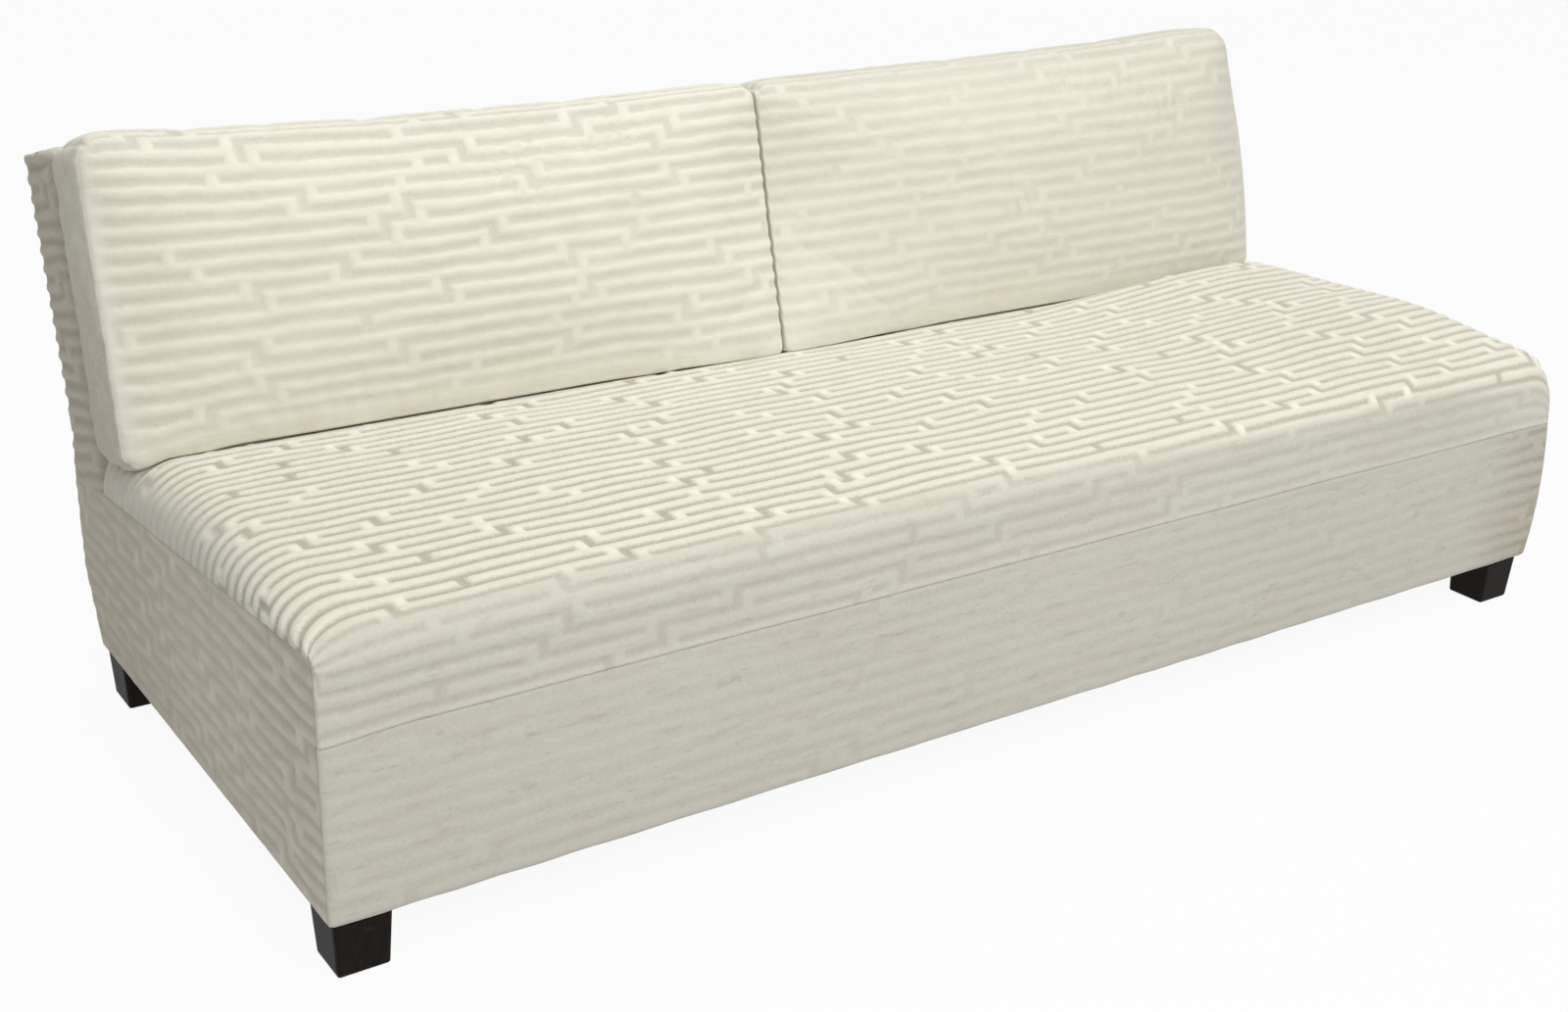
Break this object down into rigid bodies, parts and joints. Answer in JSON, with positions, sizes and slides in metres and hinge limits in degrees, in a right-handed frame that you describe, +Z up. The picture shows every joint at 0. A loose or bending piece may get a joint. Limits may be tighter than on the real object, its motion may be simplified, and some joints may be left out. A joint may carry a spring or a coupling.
{
  "type": "armless sofa",
  "caption": "Armless upholstered sofa section with a crowned sprung seat, slim raked back, loose boxed back cushions and dark square block legs.",
  "frame": {"origin": "on the floor under the middle of the sofa's outline", "axes": "+X along the sofa, to the right in a front view; +Y from the front to the back; +Z up"},
  "size_m": [2.13, 1.02, 0.8392],
  "materials": {
    "ivory_velvet": "cut velvet with raised ribs",
    "espresso_wood": "dark satin stain",
    "frame_wood": "raw planed",
    "foam": "open cell foam",
    "cushion_fill": "fibre wrap",
    "lining_cloth": "plain weave",
    "dust_cloth": "thin non-woven",
    "spring_steel": "drawn wire",
    "zinc_steel": "zinc plated",
    "zip_tape": "woven tape with coil"
  },
  "bodies": {
    "base": {"front_rail": "frame_wood", "back_rail": "frame_wood", "left_end_rail": "frame_wood", "right_end_rail": "frame_wood", "centre_rail": "frame_wood", "left_corner_block": "frame_wood", "right_corner_block": "frame_wood", "left_back_post": "frame_wood", "centre_back_post": "frame_wood", "right_back_post": "frame_wood", "back_top_rail": "frame_wood", "back_lower_rail": "frame_wood", "seat_spring_1": "spring_steel", "seat_spring_2": "spring_steel", "seat_spring_3": "spring_steel", "seat_spring_4": "spring_steel", "seat_spring_5": "spring_steel", "seat_spring_6": "spring_steel", "front_spring_clip_1": "zinc_steel", "front_spring_clip_2": "zinc_steel", "front_spring_clip_3": "zinc_steel", "front_spring_clip_4": "zinc_steel", "front_spring_clip_5": "zinc_steel", "front_spring_clip_6": "zinc_steel", "back_spring_clip_1": "zinc_steel", "back_spring_clip_2": "zinc_steel", "back_spring_clip_3": "zinc_steel", "back_spring_clip_4": "zinc_steel", "back_spring_clip_5": "zinc_steel", "back_spring_clip_6": "zinc_steel", "front_left_leg_bolt": "zinc_steel", "front_right_leg_bolt": "zinc_steel", "back_left_leg_bolt": "zinc_steel", "back_right_leg_bolt": "zinc_steel", "front_left_leg": "espresso_wood", "front_right_leg": "espresso_wood", "back_left_leg": "espresso_wood", "back_right_leg": "espresso_wood", "spring_cloth": "lining_cloth", "back_support_cloth": "lining_cloth", "seat_foam": "foam", "back_pad": "foam", "seat_cover": "ivory_velvet", "front_panel": "ivory_velvet", "left_end_panel": "ivory_velvet", "right_end_panel": "ivory_velvet", "inside_back_cover": "ivory_velvet", "outside_back_panel": "ivory_velvet", "dust_cover": "dust_cloth"},
    "left_cushion": {"left_cushion_cover": "ivory_velvet", "left_cushion_core": "cushion_fill", "left_cushion_zip": "zip_tape"},
    "left_slider": {"left_zip_slider": "zinc_steel"},
    "right_cushion": {"right_cushion_cover": "ivory_velvet", "right_cushion_core": "cushion_fill", "right_cushion_zip": "zip_tape"},
    "right_slider": {"right_zip_slider": "zinc_steel"}
  },
  "joints": [
    {"name": "left_cushion_lift", "type": "slide", "parent": "base", "child": "left_cushion", "axis": [0, 0.2504, 0.9681], "range_m": [0, 0.45]},
    {"name": "left_zip_slide", "type": "slide", "parent": "left_cushion", "child": "left_slider", "axis": [1, 0, 0], "range_m": [0, 0.56]},
    {"name": "right_cushion_lift", "type": "slide", "parent": "base", "child": "right_cushion", "axis": [0, 0.2504, 0.9681], "range_m": [0, 0.45]},
    {"name": "right_zip_slide", "type": "slide", "parent": "right_cushion", "child": "right_slider", "axis": [-1, 0, 0], "range_m": [0, 0.56]}
  ]
}
